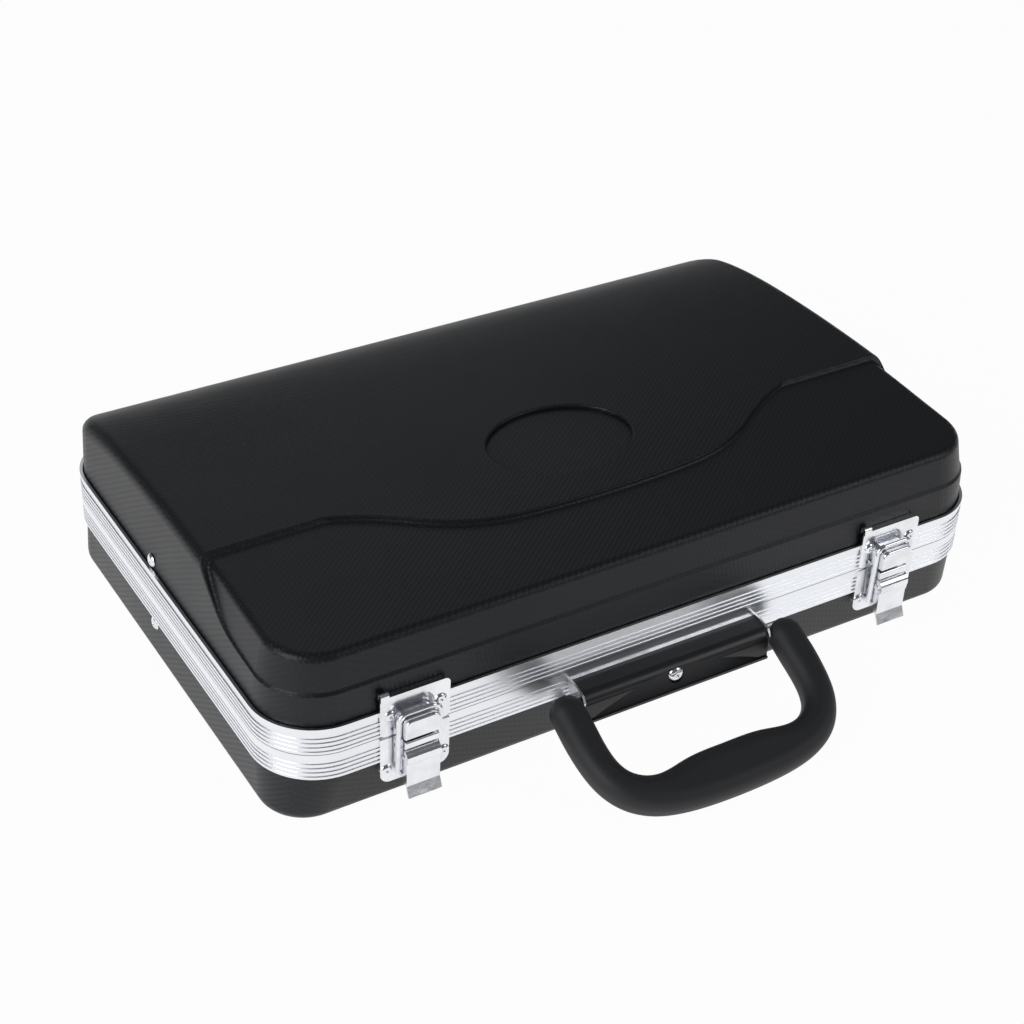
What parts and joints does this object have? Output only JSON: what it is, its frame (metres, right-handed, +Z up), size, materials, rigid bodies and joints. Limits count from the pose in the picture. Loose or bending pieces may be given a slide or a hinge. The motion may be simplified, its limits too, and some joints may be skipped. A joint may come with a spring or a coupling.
{
  "type": "clarinet case",
  "caption": "Hard clarinet case with ribbed metal frames, draw latches, hinged lid with a sunk front panel, folding lid stay, swinging handle and a shaped plush nest.",
  "frame": {"origin": "centre of the case's plan outline, on the flat bottom that it rests on", "axes": "+X along the case to the right, -Y to the front with handle and latches, +Z up"},
  "size_m": [0.375, 0.3222, 0.0935],
  "materials": {
    "moulded_shell": "embossed satin black",
    "ribbed_frame": "satin ribbed extrusion",
    "plush_nest": "short black plush",
    "plush_lining": "short black plush",
    "plush_pad": "short black plush",
    "handle_rubber": "matte black",
    "handle_plastic": "semi-gloss black",
    "bright_steel": "zinc plated",
    "hinge_steel": "nickel plated",
    "latch_chrome": "bright nickel plated",
    "latch_wire": "bright nickel plated",
    "rivet_chrome": "bright nickel plated"
  },
  "bodies": {
    "base": {"base_shell": "moulded_shell", "base_frame": "ribbed_frame", "nest_left_rail": "plush_nest", "nest_right_rail": "plush_nest", "nest_rear_rail": "plush_nest", "nest_front_rail": "plush_nest", "nest_left_floor": "plush_nest", "nest_right_floor": "plush_nest", "nest_rear_partition": "plush_nest", "nest_barrel_divider": "plush_nest", "nest_middle_partition": "plush_nest", "nest_pocket_divider": "plush_nest", "nest_mouthpiece_step": "plush_nest", "nest_reed_rail": "plush_nest", "nest_reed_step": "plush_nest", "nest_bell_cradle": "plush_nest", "hinge_base_rivets": "rivet_chrome", "handle_carrier": "bright_steel", "handle_cover": "handle_plastic", "handle_rod": "bright_steel", "handle_rivet": "rivet_chrome", "stay_base_rivet": "rivet_chrome", "hinge_left_base_leaf": "hinge_steel", "hinge_left_pin": "hinge_steel", "latch_left_base_plate": "latch_chrome", "latch_left_base_rivets": "rivet_chrome", "latch_left_lever_pin": "latch_wire", "hinge_right_base_leaf": "hinge_steel", "hinge_right_pin": "hinge_steel", "latch_right_base_plate": "latch_chrome", "latch_right_base_rivets": "rivet_chrome", "latch_right_lever_pin": "latch_wire"},
    "lid": {"lid_shell": "moulded_shell", "lid_frame": "ribbed_frame", "lid_lining": "plush_lining", "lid_pad": "plush_pad", "hinge_lid_rivets": "rivet_chrome", "stay_lid_rivet": "rivet_chrome", "hinge_left_lid_leaf": "hinge_steel", "latch_left_strike_plate": "latch_chrome", "latch_left_strike_rivets": "rivet_chrome", "hinge_right_lid_leaf": "hinge_steel", "latch_right_strike_plate": "latch_chrome", "latch_right_strike_rivets": "rivet_chrome"},
    "handle": {"handle_grip": "handle_rubber"},
    "stay_base_link": {"stay_base_link": "bright_steel", "stay_elbow_rivet": "rivet_chrome"},
    "stay_lid_link": {"stay_lid_link": "bright_steel"},
    "latch_left_lever": {"latch_left_lever": "latch_chrome"},
    "latch_left_bail": {"latch_left_bail": "latch_wire"},
    "latch_right_lever": {"latch_right_lever": "latch_chrome"},
    "latch_right_bail": {"latch_right_bail": "latch_wire"}
  },
  "joints": [
    {"name": "lid_hinge", "type": "hinge", "parent": "base", "child": "lid", "pos_m": [0, 0.1262, 0.041], "axis": [-1, 0, 0], "range_deg": [0, 95]},
    {"name": "handle_swing", "type": "hinge", "parent": "base", "child": "handle", "pos_m": [0, -0.132, 0.033], "axis": [-1, 0, 0], "range_deg": [0, 105]},
    {"name": "stay_base_pivot", "type": "hinge", "parent": "base", "child": "stay_base_link", "pos_m": [-0.1783, 0.0135, 0.0235], "axis": [-1, 0, 0], "range_deg": [0, 95]},
    {"name": "stay_lid_pivot", "type": "hinge", "parent": "lid", "child": "stay_lid_link", "pos_m": [-0.1768, 0.0135, 0.0585], "axis": [-1, 0, 0], "range_deg": [-95, 0]},
    {"name": "latch_left_lever_pivot", "type": "hinge", "parent": "base", "child": "latch_left_lever", "pos_m": [-0.126, -0.1285, 0.0315], "axis": [-1, 0, 0], "range_deg": [0, 110]},
    {"name": "latch_left_bail_pivot", "type": "hinge", "parent": "latch_left_lever", "child": "latch_left_bail", "pos_m": [-0.126, -0.1266, 0.021], "axis": [-1, 0, 0], "range_deg": [-132, 0]},
    {"name": "latch_right_lever_pivot", "type": "hinge", "parent": "base", "child": "latch_right_lever", "pos_m": [0.126, -0.1285, 0.0315], "axis": [-1, 0, 0], "range_deg": [0, 110]},
    {"name": "latch_right_bail_pivot", "type": "hinge", "parent": "latch_right_lever", "child": "latch_right_bail", "pos_m": [0.126, -0.1266, 0.021], "axis": [-1, 0, 0], "range_deg": [-132, 0]}
  ],
  "couplings": [
    {"joint": "stay_base_pivot", "follows": "lid_hinge", "ratio": 1},
    {"joint": "stay_lid_pivot", "follows": "lid_hinge", "ratio": -1},
    {"joint": "latch_left_bail_pivot", "follows": "latch_left_lever_pivot", "ratio": -1.2},
    {"joint": "latch_right_bail_pivot", "follows": "latch_right_lever_pivot", "ratio": -1.2}
  ]
}
